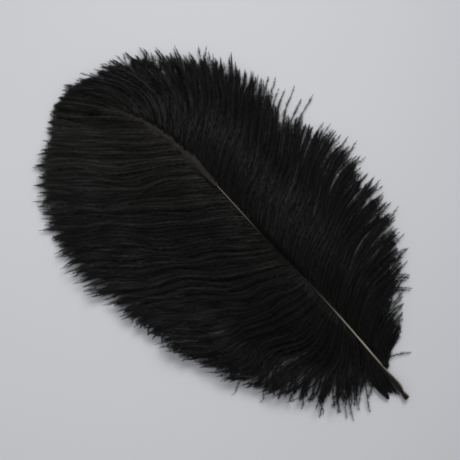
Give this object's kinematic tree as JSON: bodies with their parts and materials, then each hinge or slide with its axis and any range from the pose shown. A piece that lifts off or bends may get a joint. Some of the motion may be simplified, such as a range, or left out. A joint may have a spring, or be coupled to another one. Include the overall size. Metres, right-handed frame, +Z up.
{
  "type": "ostrich feather",
  "caption": "Black dyed ostrich plume lying top side up: bare quill, tapering rachis and two broad downy vanes combed towards a tip that bends to the left.",
  "frame": {"origin": "middle of the feather's box, on the surface that it lies on", "axes": "+Y from the quill to the tip, +Z up out of the top side, +X to the feather's right with the tip away"},
  "size_m": [0.162, 0.272, 0.0133],
  "materials": {
    "shaft": "dyed horn-like keratin, satin, paler along the top where the dye is thin",
    "barbs": "soft matt down of black dyed barbs and barbules"
  },
  "bodies": {
    "root": {"shaft": "shaft", "left_vane": "barbs", "right_vane": "barbs"}
  },
  "joints": []
}
